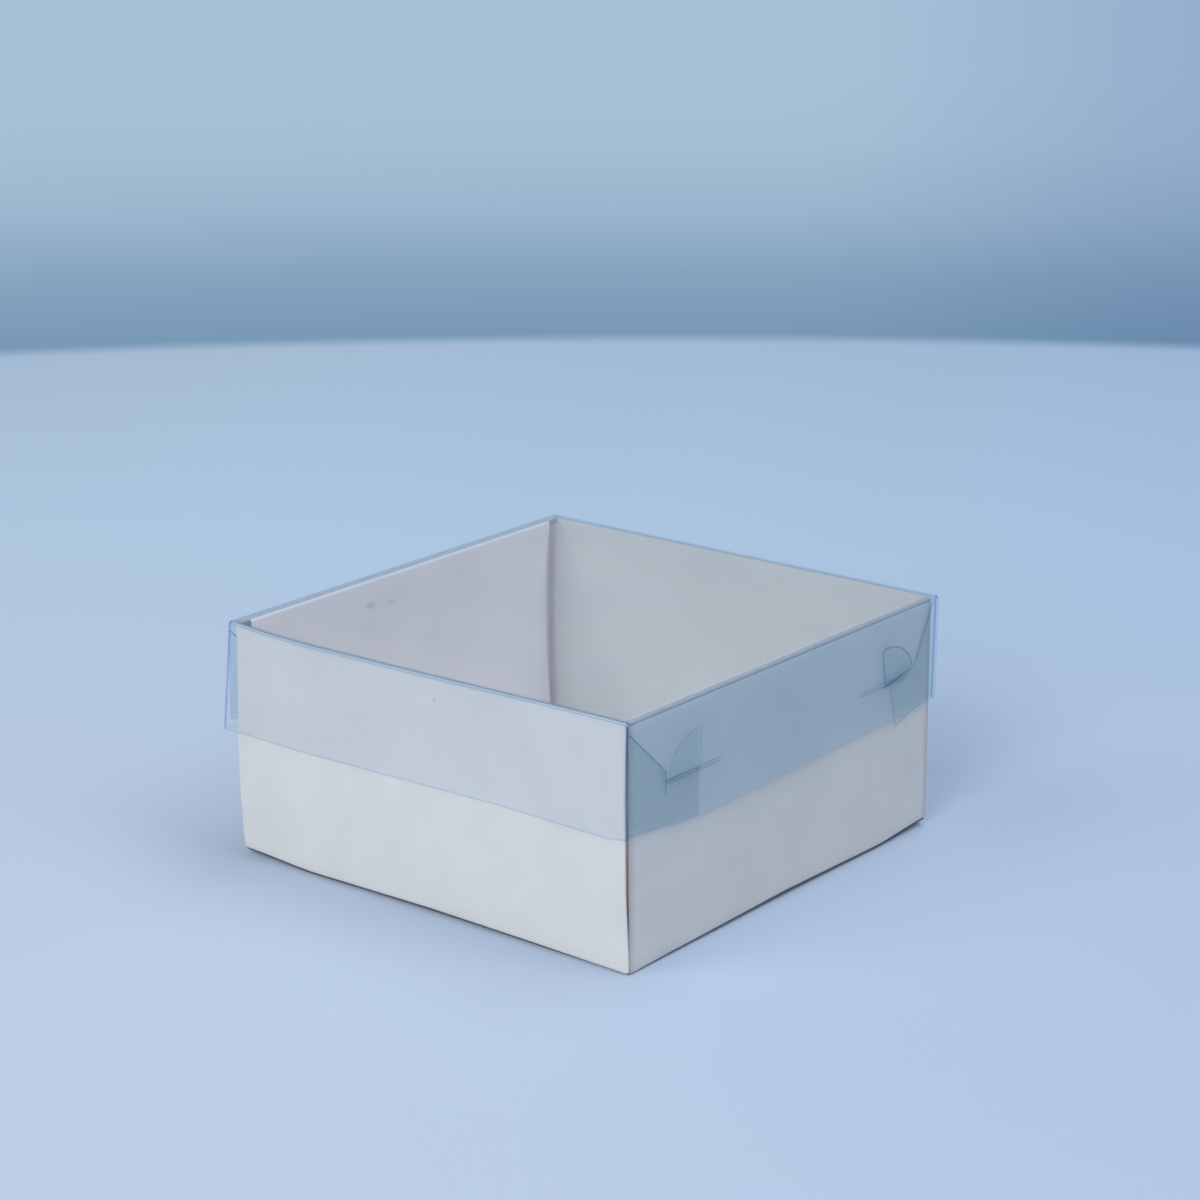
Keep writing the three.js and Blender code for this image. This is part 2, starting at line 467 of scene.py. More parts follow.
def soft_spot_group():
    """A mask that is 1 at a place, given in millimetres, and fades to 0 over a reach."""
    group, given, result = new_group(
        "soft_spot",
        [
            ("Place", "NodeSocketVector", (0, 0, 0)),
            ("Stretch", "NodeSocketVector", (1, 1, 1)),
            ("Reach", "NodeSocketFloat", 2.0),
            ("Amount", "NodeSocketFloat", 1.0),
        ],
        [("Mask", "NodeSocketFloat")],
    )
    link = group.links.new
    place = add(group, "ShaderNodeTexCoord")
    to_mm = add(group, "ShaderNodeVectorMath", operation="SCALE")
    fill(to_mm, Scale=1 / MM)
    link(place.outputs["Object"], to_mm.inputs[0])
    offset = add(group, "ShaderNodeVectorMath", operation="SUBTRACT")
    link(to_mm.outputs[0], offset.inputs[0])
    link(given.outputs["Place"], offset.inputs[1])
    squeezed = add(group, "ShaderNodeVectorMath", operation="DIVIDE")
    link(offset.outputs[0], squeezed.inputs[0])
    link(given.outputs["Stretch"], squeezed.inputs[1])
    far = add(group, "ShaderNodeVectorMath", operation="LENGTH")
    link(squeezed.outputs[0], far.inputs[0])
    fade = add(group, "ShaderNodeMapRange", interpolation_type="SMOOTHSTEP")
    fill(fade, From_Min=0, To_Max=0)
    link(far.outputs["Value"], fade.inputs["Value"])
    link(given.outputs["Reach"], fade.inputs["From Max"])
    link(given.outputs["Amount"], fade.inputs["To Min"])
    link(fade.outputs["Result"], result.inputs["Mask"])
    return group


FIBRE = board_fibre_group()
SPOT = soft_spot_group()
FILM_ROUGHNESS = 0.06
FACE_ON_MIRROR = 0.04  # share of light that film mirrors where it faces the eye


def add_group(tree, group, **values):
    made = add(tree, "ShaderNodeGroup", node_tree=group)
    return fill(made, **values)


def board_material(name, paper, shade, bump=0.25, spots=(), spot_tint=(150, 150, 160), **grain):
    """Uncoated board, with soft spots of another tint: marks where it was handled, and painted shade
    in seams, corners and at ends.
    """
    material = new_material(name)
    tree = material.node_tree
    link = tree.links.new
    fibre = add_group(tree, FIBRE, Paper=colour(*paper), Shade=colour(*shade), **grain)
    body = fill(add(tree, "ShaderNodeBsdfPrincipled"), Specular_IOR_Level=0.25)
    tint = fibre.outputs["Color"]
    for place, stretch, reach, amount in spots:
        spot = add_group(tree, SPOT, Place=place, Stretch=stretch, Reach=reach, Amount=amount)
        stain_and_painted_shade = add(tree, "ShaderNodeMix", data_type="RGBA")
        stain_and_painted_shade.inputs[7].default_value = colour(*spot_tint)
        link(spot.outputs["Mask"], stain_and_painted_shade.inputs["Factor"])
        link(tint, stain_and_painted_shade.inputs[6])
        tint = stain_and_painted_shade.outputs[2]
    relief = fill(add(tree, "ShaderNodeBump"), Strength=bump, Distance=0.00003)
    surface = add(tree, "ShaderNodeOutputMaterial")
    link(tint, body.inputs["Base Color"])
    link(fibre.outputs["Roughness"], body.inputs["Roughness"])
    link(fibre.outputs["Height"], relief.inputs["Height"])
    link(relief.outputs["Normal"], body.inputs["Normal"])
    link(body.outputs["BSDF"], surface.inputs["Surface"])
    return material


def film_material(name, tint, body_tint, haze, gloss=1.0):
    """Clear film: it lets the view through, mirrors more as it turns away, and is a little milky."""
    material = new_material(name)
    tree = material.node_tree
    link = tree.links.new
    through = fill(add(tree, "ShaderNodeBsdfTransparent"), Color=colour(*tint))
    mirror = fill(add(tree, "ShaderNodeBsdfGlossy"), Roughness=FILM_ROUGHNESS)
    body = fill(
        add(tree, "ShaderNodeBsdfPrincipled"),
        Base_Color=colour(*body_tint),
        Roughness=0.25,
        IOR=1.5,
    )
    turn = fill(add(tree, "ShaderNodeLayerWeight"), Blend=0.5)
    steep = add(tree, "ShaderNodeMath", operation="POWER")
    steep.inputs[1].default_value = 5
    reflect = fill(add(tree, "ShaderNodeMapRange"), To_Min=FACE_ON_MIRROR * gloss, To_Max=gloss)
    clear = add(tree, "ShaderNodeMixShader")
    milky = add(tree, "ShaderNodeMixShader")
    surface = add(tree, "ShaderNodeOutputMaterial")
    link(turn.outputs["Facing"], steep.inputs[0])
    link(steep.outputs[0], reflect.inputs["Value"])
    link(reflect.outputs["Result"], clear.inputs["Fac"])
    link(through.outputs[0], clear.inputs[1])
    link(mirror.outputs[0], clear.inputs[2])
    link(clear.outputs[0], milky.inputs[1])
    link(body.outputs[0], milky.inputs[2])
    milky.inputs["Fac"].default_value = haze
    link(milky.outputs[0], surface.inputs["Surface"])
    return material


EVERYWHERE = 999  # stretch that makes a spot run on along an axis

# Soft spots: place, stretch along each axis, reach and amount
SPECK = ((2.3, -HALF, 35.1), (1, 1, 1), 0.42, 0.9)
# Painted shade: both ends of the side plies are tinted darker and browner, as the seams shade them
END_PAINTED_SHADE = [((0, way * HALF, 20), (EVERYWHERE, 1, EVERYWHERE), 2.2, 0.4) for way in (1, -1)]
# Painted shade: a soft dark band down the back inner corners, for the shadow in the gap between ply
# end and back wall
CORNER_PAINTED_SHADE = [((0, 38.2, 20), (EVERYWHERE, 1, EVERYWHERE), 2.3, 0.75)]
# Painted shade: dark brown on the front webs by the front corners, for the shadow inside the corner
# seams
SEAM_PAINTED_SHADE = [((way * WEB_FACE, -39.7, 20), (0.6, 1.3, EVERYWHERE), 1, 1) for way in (1, -1)]
SMUDGES = [
    ((-38.6, -9.7, 35.2), (9, 2, 0.8), 1, 0.55),
    ((-38.6, -4.6, 34.5), (9, 1.8, 0.6), 1, 0.4),
]

WHITE = (225, 227, 226), (217, 219, 218)
# The inner plies are paler and pinker than the same board outside: painted light inside the tray
LINING = (248, 242, 247), (239, 233, 239)
white_board = board_material("white_board", *WHITE, spots=[SPECK], spot_tint=(120, 112, 112))
# Side plies: paper a little darker than white_board, painted shade for the side walls, plus the
# painted shade at their ends
side_board = board_material(
    "side_board", (219, 221, 220), (211, 213, 213), spots=END_PAINTED_SHADE, spot_tint=(150, 132, 130)
)
# Cut edges: darker and greyer than the faces; partly the board's core, partly painted shade so the lit
# top edges don't stand out
board_cut = board_material(
    "board_cut_edge", (176, 176, 186), (158, 156, 168), bump=0.5, Fibre_Size=0.2
)
# Rim tops: darker and bluer than the white board, painted shade so the lit tops of the double walls
# don't shine
rim_board = board_material("rim_board", (172, 178, 192), (162, 168, 182))
# Front corner webs: white board with the painted seam shade
seam_board = board_material("seam_board", *WHITE, spots=SEAM_PAINTED_SHADE, spot_tint=(132, 104, 100))
# The tray floor's cut edge is painted dark brown: painted shade for the contact line under the walls'
# feet
floor_cut_painted_shade = board_material("floor_cut_edge", (120, 100, 98), (100, 84, 84), bump=0.5, Fibre_Size=0.2)
lining_board = board_material("lining_board", *LINING, spots=SMUDGES, spot_tint=(158, 164, 188))
# Back corner webs: lining paper with the painted corner shade
corner_board = board_material("corner_board", *LINING, spots=CORNER_PAINTED_SHADE, spot_tint=(160, 118, 122))
clear_film = film_material("clear_film", (253, 254, 255), (225, 232, 242), haze=0.015)
flap_film = film_material("flap_film", (253, 255, 255), (190, 210, 235), haze=0.01, gloss=0.35)
# Side walls' film: a bluer body than clear_film, painted reflection of the pale blue floor and
# backdrop
side_film = film_material("side_film", (250, 254, 255), (140, 190, 245), haze=0.04)
film_rim = film_material("film_rim", (240, 246, 251), (170, 190, 215), haze=0.03)
film_fold = film_material("film_fold", (247, 251, 254), (190, 205, 225), haze=0.03)
film_edge = film_material("film_edge", (206, 223, 240), (110, 145, 185), haze=0.08)
film_corner = film_material("film_corner", (226, 237, 248), (140, 170, 205), haze=0.06)

# The materials of each kind of piece: its faces, then the strips along its edges
BOARD_LOOK = (white_board, board_cut)
SIDE_LOOK = (side_board, board_cut)
FLOOR_LOOK = (white_board, floor_cut_painted_shade)
RIM_LOOK = (rim_board, board_cut)
SEAM_LOOK = (seam_board, board_cut)
CORNER_LOOK = (corner_board, board_cut)
LINING_LOOK = (lining_board, board_cut)
FILM_LOOK = (clear_film, film_rim, film_fold, film_edge, film_corner)
SIDE_FILM_LOOK = (side_film, film_rim, film_fold, film_edge, film_corner)
FLAP_FILM_LOOK = (flap_film, film_rim, film_fold, film_edge, film_corner)
RIM, FOLD, EDGE, CORNER = 1, 2, 3, 4  # places in the three film looks


def dress(piece, body, node):
    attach(piece, body)
    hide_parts(node)


# Tray

def fold_foot(piece, test, sign, along):
    """Turns a wall's bottom edge in under it, a little above what the box stands on."""
    if along == "x":
        centre, axis, angle = (0, sign * (HALF - FOOT), FOOT), (1, 0, 0), -sign * pi / 2
        lift, way = FRONT_LIFT, 0
    else:
        centre, axis, angle = (sign * (HALF - FOOT), 0, FOOT), (0, 1, 0), sign * pi / 2
        lift, way = SIDE_LIFT, 1
    fold_edge(piece, lambda p: p.z < FOOT + HAIR and test(p), centre, axis, angle, 4)
    shift_rows(piece, lambda p: p.z < FOOT + HAIR, way, lambda at: (0, 0, read_off(lift, at)))


def tray_floor():
    """The sheet under everything, warped up a little all over and more at two corners."""
    reach = HALF - FOOT
    piece = lay_sheet("tray_floor_board", "down", 0, (-reach, reach), (-reach, reach), 24, 24)
    give_materials(piece, *FLOOR_LOOK)
    push_all(piece, FLOOR_WARP)
    finish_sheet(piece, "down", BOARD, BOARD_SOFTNESS)
    dress(piece, "tray", "tray_floor")


def single_wall(end, pushes, bows, top_sag=()):
    """The front or back wall, with the rounded folds of its corner webs."""
    sign = 1 if end == "back" else -1
    flat = WEB_FACE - WALL_FOLD
    piece = lay_sheet(
        f"tray_{end}_wall_board", end, sign * HALF, (-flat, flat), (FOOT, TRAY_TOP), *BOARD_GRID
    )
    give_materials(piece, *BOARD_LOOK)
    for side in (1, -1):
        fold_edge(
            piece,
            lambda p: side * p.x > flat - HAIR,
            (side * flat, sign * (HALF - WALL_FOLD), 0),
            (0, 0, 1),
            -sign * side * pi / 2,
        )
    fold_foot(piece, lambda p: abs(p.x) < flat, sign, "x")
    with editing(piece):
        pick(piece, "VERT", lambda p: abs(p.x) > flat + HAIR and p.z < FOOT + HAIR)
        bpy.ops.transform.translate(value=in_metres((0, 0, CORNER_FOOT - FOOT)))
    if top_sag:
        shift_rows(piece, lambda p: p.z > TRAY_TOP - HAIR, 0, lambda x: (0, 0, read_off(top_sag, x)))
    for side, table in bows:
        bow(piece, (side, 0), table)
    push_all(piece, pushes)
    finish_sheet(piece, end, BOARD, BOARD_SOFTNESS)
    dress(piece, "tray", f"tray_{end}_wall")


def corner_web(end, side, look, table=()):
    """The end of a single wall, caught between the two plies of a double wall."""
    y_sign = 1 if end == "back" else -1
    x_sign = 1 if side == "right" else -1
    start = HALF - WALL_FOLD
    spans = sorted((y_sign * start, y_sign * WEB_FREE_END))
    piece = lay_sheet(
        f"corner_web_{end}_{side}_board", side, x_sign * WEB_FACE, spans, WEB_SPAN, 20, 12
    )
    give_materials(piece, *look)
    low, high = WEB_SPAN
    cut_line(piece, (0, y_sign * start, high), (0, -y_sign * WEB_DROP, WEB_LENGTH), drop=True)
    cut_line(piece, (0, y_sign * start, low), (0, -y_sign * WEB_RISE, -WEB_LENGTH), drop=True)
    if table:
        bow(piece, (0, y_sign), table)
    finish_sheet(piece, side, BOARD, BOARD_SOFTNESS)
    dress(piece, "tray", f"corner_web_{end}_{side}")


def outer_ply(side, pushes, bows=()):
    sign = 1 if side == "right" else -1
    piece = lay_sheet(
        f"tray_{side}_outer_wall_board",
        side,
        sign * HALF,
        (-SEAM_END, SEAM_END),
        (FOOT, TRAY_TOP - RIM_FOLD),
        *BOARD_GRID,
    )
    give_materials(piece, *SIDE_LOOK)
    fold_foot(piece, lambda p: True, sign, "y")
    for end, table in bows:
        bow(piece, (0, end), table)
    push_all(piece, pushes)
    finish_sheet(piece, side, BOARD, BOARD_SOFTNESS)
    dress(piece, "tray", f"tray_{side}_outer_wall")


def folded_rim(side):
    """The narrow strip on top of a double wall, rounded over its outer fold."""
    sign = 1 if side == "right" else -1
    spans = sorted((sign * (INNER_FACE + RIM_FOLD), sign * (HALF - RIM_FOLD)))
    piece = lay_sheet(
        f"{side}_folded_rim_board", "up", TRAY_TOP, spans, (-SEAM_END, SEAM_END), 3, 48
    )
    give_materials(piece, *RIM_LOOK)
    fold_edge(
        piece,
        lambda p: sign * p.x > HALF - RIM_FOLD - HAIR,
        (sign * (HALF - RIM_FOLD), 0, TRAY_TOP - RIM_FOLD),
        (0, 1, 0),
        sign * pi / 2,
    )
    finish_sheet(piece, "up", BOARD, BOARD_SOFTNESS)
    dress(piece, "tray", f"{side}_folded_rim")


def inner_ply(side, bows=()):
    """The ply folded down inside, rounded over at the rim's inner fold, where the real ply hinges."""
    sign = 1 if side == "right" else -1
    inward = "left" if side == "right" else "right"
    top = TRAY_TOP - RIM_FOLD
    piece = lay_sheet(
        f"tray_{side}_inner_wall_board",
        inward,
        sign * INNER_FACE,
        (-INNER_END, INNER_END),
        (INNER_FOOT, top),
        46,
        24,
    )
    give_materials(piece, *LINING_LOOK)
    fold_edge(
        piece,
        lambda p: p.z > top - HAIR,
        (sign * (INNER_FACE + RIM_FOLD), 0, top),
        (0, 1, 0),
        sign * pi / 2,
    )
    for end, table in bows:
        bow(piece, (0, end), table, way=(0, 1, 0))
    finish_sheet(piece, inward, BOARD, BOARD_SOFTNESS)
    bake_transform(piece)
    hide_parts(f"tray_{side}_inner_wall")


# Each lift and push: the place, how far it moves, and the reach

BACK_RIGHT_LIFT = ((HALF, HALF, 0), (0, 0, 0.8), 15)
FRONT_LEFT_LIFT = ((-HALF, -HALF, 0), (0, 0, 0.8), 16)
FLOOR_WARP = [
    ((0, 0, 0), (0, 0, 0.3), 34),
    ((0, -HALF, 0), (0, 0, 0.3), 34),
    ((0, HALF, 0), (0, 0, 0.3), 34),
    ((HALF, 0, 0), (0, 0, 0.4), 36),
    ((-HALF, 0, 0), (0, 0, 0.4), 36),
    BACK_RIGHT_LIFT,
    FRONT_LEFT_LIFT,
]
tray_floor()
single_wall(
    "front",
    [((4, -HALF, 24), (0, 0.3, 0), 30), FRONT_LEFT_LIFT],
    [(1, FRONT_SEAM), (-1, [(z, x - 0.3) for z, x in LEFT_BULGE])],
    top_sag=FRONT_SAG,
)
single_wall(
    "back",
    [((6, HALF, 22), (0, -0.25, 0), 30), BACK_RIGHT_LIFT],
    [(-1, BACK_BULGE)],
)
corner_web("front", "right", SEAM_LOOK, FRONT_SEAM)
corner_web("front", "left", SEAM_LOOK, LEFT_BULGE)
corner_web("back", "right", CORNER_LOOK)
corner_web("back", "left", CORNER_LOOK, BACK_BULGE)
outer_ply("right", [((HALF, 2, 20), (-0.2, 0, 0), 30), BACK_RIGHT_LIFT])
outer_ply(
    "left",
    [((-HALF, 0, 18), (-0.4, 0, 0), 26), FRONT_LEFT_LIFT],
    [(-1, LEFT_BULGE), (1, BACK_BULGE)],
)
folded_rim("right")
folded_rim("left")
inner_ply("right")
inner_ply("left", bows=[(1, FAR_CORNER_BULGE)])


# Lid

TOP_HOLLOWS = [((-14, 10, LID_TOP), (0, 0, -0.35), 26), ((18, -16, LID_TOP), (0, 0, -0.25), 22)]


def lid_top():
    """The clear square, rounded over into all four walls."""
    flat = LID_SIDE - LID_FOLD
    piece = lay_sheet("lid_top_film", "up", LID_TOP, (-flat, flat), (-flat, flat), 40, 40)
    give_materials(piece, *FILM_LOOK)
    drop = LID_TOP - LID_FOLD
    for sign in (1, -1):
        fold_edge(
            piece,
            lambda p: sign * p.x > flat - HAIR,
            (sign * flat, 0, drop),
            (0, 1, 0),
            sign * pi / 2,
            4,
        )
        fold_edge(
            piece,
            lambda p: sign * p.y > flat - HAIR and abs(p.x) < flat,
            (0, sign * flat, drop),
            (1, 0, 0),
            -sign * pi / 2,
            4,
        )
    mark_faces(piece, lambda p: p.z < LID_TOP - 0.005, FOLD)
    cut_line(piece, (0, -flat + TOP_STRIP, 0), (0, 1, 0))
    mark_faces(piece, lambda p: -flat < p.y < -flat + TOP_STRIP, CORNER)
    push_all(piece, TOP_HOLLOWS)
    start = -LID_SIDE - 1
    for end, share in SAG_SHARES:
        shift_rows(
            piece,
            lambda p: start < p.y <= end,
            0,
            lambda x: (0, 0, share * read_off(FRONT_SAG, x)),
        )
        start = end
    finish_sheet(piece, "up", FILM, FILM_SOFTNESS)
    dress(piece, "lid", "lid_top")


def plain_film_wall(end, rim_wave=(), top_sag=(), pushes=()):
    """The lid's front or back wall, with the folds of its corner flaps."""
    sign = 1 if end == "back" else -1
    flat = FLAP_FACE - LID_FOLD
    piece = lay_sheet(
        f"lid_{end}_wall_film",
        end,
        sign * LID_SIDE,
        (-flat, flat),
        (LID_RIM, LID_TOP - LID_FOLD),
        *FILM_GRID,
    )
    give_materials(piece, *FILM_LOOK)
    cut_line(piece, (0, 0, LID_RIM + CUT_STRIP), (0, 0, 1))
    for side in (1, -1):
        fold_edge(
            piece,
            lambda p: side * p.x > flat - HAIR,
            (side * flat, sign * (LID_SIDE - LID_FOLD), 0),
            (0, 0, 1),
            -sign * side * pi / 2,
            4,
        )
    mark_faces(piece, lambda p: abs(p.x) > flat, CORNER)
    mark_faces(piece, lambda p: p.z < LID_RIM + CUT_STRIP, RIM)
    if rim_wave:
        wave_rim(piece, 0, rim_wave)
    if top_sag:
        shift_rows(
            piece, lambda p: p.z > LID_TOP - LID_FOLD - HAIR, 0, lambda x: (0, 0, read_off(top_sag, x))
        )
    push_all(piece, pushes)
    finish_sheet(piece, end, FILM, FILM_SOFTNESS)
    dress(piece, "lid", f"lid_{end}_wall")


def wave_rim(piece, axis, wave):
    """Raises and lowers the rim of a piece of film along its length, and less further up."""
    shift_bands(
        piece,
        lambda p: p.z,
        WAVE_SHARES,
        axis,
        lambda at: (0, 0, read_off(wave, at)),
    )


def round_slit_end(piece, y, by, levels):
    with editing(piece):
        pick(piece, "VERT", lambda p: abs(p.y - y) < HAIR and min(abs(p.z - z) for z in levels) < HAIR)
        bpy.ops.transform.translate(value=in_metres((0, by, 0)))


def slitted_film_wall(side, slits, rim_wave=(), pushes=()):
    """The lid's left or right wall, with a slit near either corner."""
    sign = 1 if side == "right" else -1
    piece = lay_sheet(
        f"lid_{side}_wall_film",
        side,
        sign * LID_SIDE,
        (-LID_SIDE, LID_SIDE),
        (LID_RIM, LID_TOP - LID_FOLD),
        *FILM_GRID,
    )
    give_materials(piece, *SIDE_FILM_LOOK)
    cut_line(piece, (0, 0, LID_RIM + CUT_STRIP), (0, 0, 1))
    for way in (1, -1):
        cut_line(piece, (0, way * (LID_SIDE - CUT_STRIP), 0), (0, 1, 0))
    for low_y, high_y, low_z, high_z in slits:
        for y in (low_y, high_y):
            cut_line(piece, (0, y, 0), (0, 1, 0))
        for z in (low_z - CUT_STRIP / 2, low_z, (low_z + high_z) / 2, high_z, high_z + CUT_STRIP / 2):
            cut_line(piece, (0, 0, z), (0, 0, 1))
        take_out(piece, lambda p: low_y < p.y < high_y and low_z < p.z < high_z)
        mark_faces(
            piece,
            lambda p: low_y < p.y < high_y
            and low_z - CUT_STRIP / 2 < p.z < high_z + CUT_STRIP / 2,
            EDGE,
        )
        for y, way in ((low_y, 1), (high_y, -1)):
            round_slit_end(piece, y, way * SLIT_ROUND, (low_z, high_z))
    mark_faces(piece, lambda p: p.z < LID_RIM + CUT_STRIP or abs(p.y) > LID_SIDE - CUT_STRIP, RIM)
    if rim_wave:
        wave_rim(piece, 1, rim_wave)
    push_all(piece, pushes)
    finish_sheet(piece, side, FILM, FILM_SOFTNESS)
    dress(piece, "lid", f"lid_{side}_wall")


def corner_flap(
    end,
    side,
    turn=None,
    hang=0.0,
    spring=(),
    rim_wave=(),
    edge_low=DIAGONAL_LOW,
    crease=None,
    pushes=(),
):
    """A flap inside a slitted wall, with a slanted edge above its lock.

    The slanted edge ends at edge_low, and a short upright edge goes on down to the neck.
    """
    y_sign = 1 if end == "back" else -1
    x_sign = 1 if side == "right" else -1
    fold = LID_SIDE - LID_FOLD
    shoulder = NECK[0][1]
    foot_near, foot_far = TONGUE_FOOT
    flap_top = LID_TOP - FLAP_DROP
    bottom = LID_RIM - hang
    crease = crease or shoulder
    spans = sorted((y_sign * FLAP_END, y_sign * fold))
    piece = lay_sheet(
        f"lid_flap_{end}_{side}_film", side, x_sign * FLAP_FACE, spans, (bottom, flap_top), 16, 16
    )
    give_materials(piece, *FLAP_FILM_LOOK)
    for y in (foot_far, foot_far + CUT_STRIP):
        cut_line(piece, (0, y_sign * y, 0), (0, 1, 0))
    for z in (shoulder, edge_low, crease):
        cut_line(piece, (0, 0, z), (0, 0, 1))
    take_out(piece, lambda p: abs(p.y) < foot_far and p.z > shoulder)
    slope = ((flap_top - edge_low) / (fold - foot_far), 1)
    for inset in (0, CUT_STRIP):
        cut_line(
            piece,
            (0, y_sign * (foot_far + inset * SLANT), edge_low - inset * SLANT),
            (0, -y_sign * slope[0], slope[1]),
            drop=not inset,
            within=lambda p: abs(p.y) > foot_far and p.z > edge_low - 1.5,
        )
    cut_line(piece, (0, y_sign * (FLAP_END + CUT_STRIP), 0), (0, 1, 0))
    cut_line(piece, (0, 0, bottom + CUT_STRIP), (0, 0, 1))

    def on_top_edge(p):
        drop = edge_low - p.z + slope[0] * (abs(p.y) - foot_far)
        return abs(p.y) > foot_far and drop < CUT_STRIP * SLANT * (1 + slope[0])

    mark_faces(piece, lambda p: abs(p.y) < FLAP_END + CUT_STRIP or p.z < bottom + CUT_STRIP, RIM)
    mark_faces(piece, on_top_edge, EDGE)
    mark_faces(
        piece, lambda p: foot_far < abs(p.y) < foot_far + CUT_STRIP and crease < p.z < edge_low, EDGE
    )
    if not turn:
        extend_neck(
            piece, x_sign, lambda p: abs(p.y) < foot_far and abs(p.z - shoulder) < HAIR, NECK[:3]
        )
    if rim_wave:
        wave_rim(piece, 1, rim_wave)
    if turn:
        lean_lock(piece, y_sign, *turn)
        cut_line(piece, (0, y_sign * TURNED_END, 0), (0, 1, 0))
        cut_line(piece, (0, 0, TURNED_NECK[1]), (0, 0, 1), within=lambda p: abs(p.y) < TURNED_END)
        take_out(piece, lambda p: abs(p.y) < TURNED_END and p.z > TURNED_NECK[1])
        cut_line(piece, (0, y_sign * fold, 0), (0, y_sign, 0), drop=True)
        cut_line(piece, (0, 0, flap_top + 0.8), (0, 0, 1), drop=True)
    if spring:
        shift_bands(
            piece,
            lambda p: fold - abs(p.y),
            spring,
            2,
            lambda z: (x_sign * SPRUNG * between(z, *SPRUNG_SPAN), 0, 0),
        )
    push_all(piece, pushes)
    finish_sheet(piece, side, FILM, FILM_SOFTNESS)
    dress(piece, "lid", f"lid_flap_{end}_{side}")


def extend_neck(piece, x_sign, test, rows):
    """Draws the picked edges out through the points of rows, for the film in the slit."""
    with editing(piece):
        pick(piece, "EDGE", test)
        for (x0, z0), (x1, z1) in zip(rows, rows[1:]):
            bpy.ops.mesh.extrude_region_move(
                TRANSFORM_OT_translate={"value": in_metres((x_sign * (x1 - x0), 0, z1 - z0))}
            )


def lean_lock(piece, y_sign, lean, slide, rise):
    """Turns a piece of a lock in its own plane about the foot's free end, and moves it."""
    with editing(piece):
        bpy.ops.mesh.select_all(action="SELECT")
        bpy.ops.transform.rotate(
            value=-y_sign * radians(lean),
            orient_axis="X",
            center_override=in_metres((0, y_sign * FLAP_END, NECK[1][1])),
        )
        bpy.ops.transform.translate(value=in_metres((0, y_sign * slide, rise)))


def lock_tongue(end, side, turn=None):
    """A quarter of an ellipse outside the wall. It bends outward from its foot in the slit."""
    y_sign = 1 if end == "back" else -1
    x_sign = 1 if side == "right" else -1
    foot_near, foot_far = TONGUE_FOOT
    foot_z = NECK[-1][1]
    leave_edit_mode()
    bpy.ops.object.select_all(action="DESELECT")
    bpy.ops.mesh.primitive_circle_add(
        vertices=64,
        radius=1,
        fill_type="NGON",
        location=in_metres((x_sign * TONGUE_FACE, y_sign * foot_near, foot_z)),
        rotation=FACING[side],
    )
    piece = bpy.context.active_object
    piece.name = piece.data.name = f"lock_tongue_{end}_{side}_film"
    piece.scale = ((foot_far - foot_near) * MM, (LOCK_TOP - foot_z) * MM, 1)
    bpy.ops.object.transform_apply(location=True, rotation=True, scale=True)
    give_materials(piece, *FLAP_FILM_LOOK)
    cut_line(piece, (0, 0, foot_z), (0, 0, -1), drop=True)
    cut_line(piece, (0, y_sign * foot_near, 0), (0, -y_sign, 0), drop=True)
    with editing(piece):
        pick(piece, "VERT", lambda p: p.z > LOCK_TOP - 0.05 and abs(p.y) < foot_near + 0.05)
        bpy.ops.mesh.bevel(offset=TONGUE_ROUND * MM, segments=4, affect="VERTICES")
        pick(piece, "FACE", lambda p: True)
        bpy.ops.mesh.inset(thickness=CUT_STRIP * MM)
        bpy.ops.mesh.select_all(action="INVERT")
        piece.active_material_index = EDGE if turn else RIM
        bpy.ops.object.material_slot_assign()
    rows = NECK[:1:-1] + ([TURNED_NECK] if turn else [])
    extend_neck(piece, x_sign, lambda p: p.z < foot_z + HAIR, rows)
    if turn:
        lean_lock(piece, y_sign, *turn)
    finish_sheet(piece, side, FILM, FILM_SOFTNESS)
    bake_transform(piece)
    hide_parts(f"lock_tongue_{end}_{side}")


lid_top()
plain_film_wall(
    "front",
    rim_wave=((-39, 0), (-25, -0.25), (-4, 0), (16, 0.3), (31, 0), (37, -0.1), (40, 0.45)),
    top_sag=FRONT_SAG,
    pushes=[((-FLAP_FACE, -LID_SIDE + LID_FOLD, LID_RIM), (-SPRUNG, 0, 0), 20.3, "LINEAR")],
)
DRAWN_IN = [((40.6, 40.7, LID_RIM), (0, -0.45, 0), 16, "LINEAR")]
plain_film_wall("back", rim_wave=((0, 0), (28, 0.3), (40, 1.1)), pushes=DRAWN_IN)
near, far, low, high = SLIT
SLITS = [(-far, -near, low, high), (near, far, low, high)]
RIGHT_RIM = [
    (-40, 0.9),
    (-33, 0.3),
    (-26, -0.45),
    (-18, -0.6),
    (-8, -0.4),
    (10, 0),
    (28, 0.3),
    (40, 1.1),
]
slitted_film_wall("right", SLITS, rim_wave=RIGHT_RIM, pushes=DRAWN_IN)
slitted_film_wall(
    "left",
    SLITS,
    pushes=[((-LID_SIDE, -LID_SIDE, LID_RIM), (-1.55, 1.25, 1.3), 20, "LINEAR")],
)
corner_flap("front", "right", rim_wave=[(y, rise + 0.12) for y, rise in RIGHT_RIM], crease=25.9)
lock_tongue("front", "right")
corner_flap("back", "right", turn=TURN_FLAP, hang=1.2, edge_low=NECK[0][1], pushes=DRAWN_IN)
lock_tongue("back", "right", turn=TURN_TONGUE)
corner_flap("front", "left", spring=SPRUNG_SHARES)
lock_tongue("front", "left")
corner_flap("back", "left")
lock_tongue("back", "left")


# Camera and stage

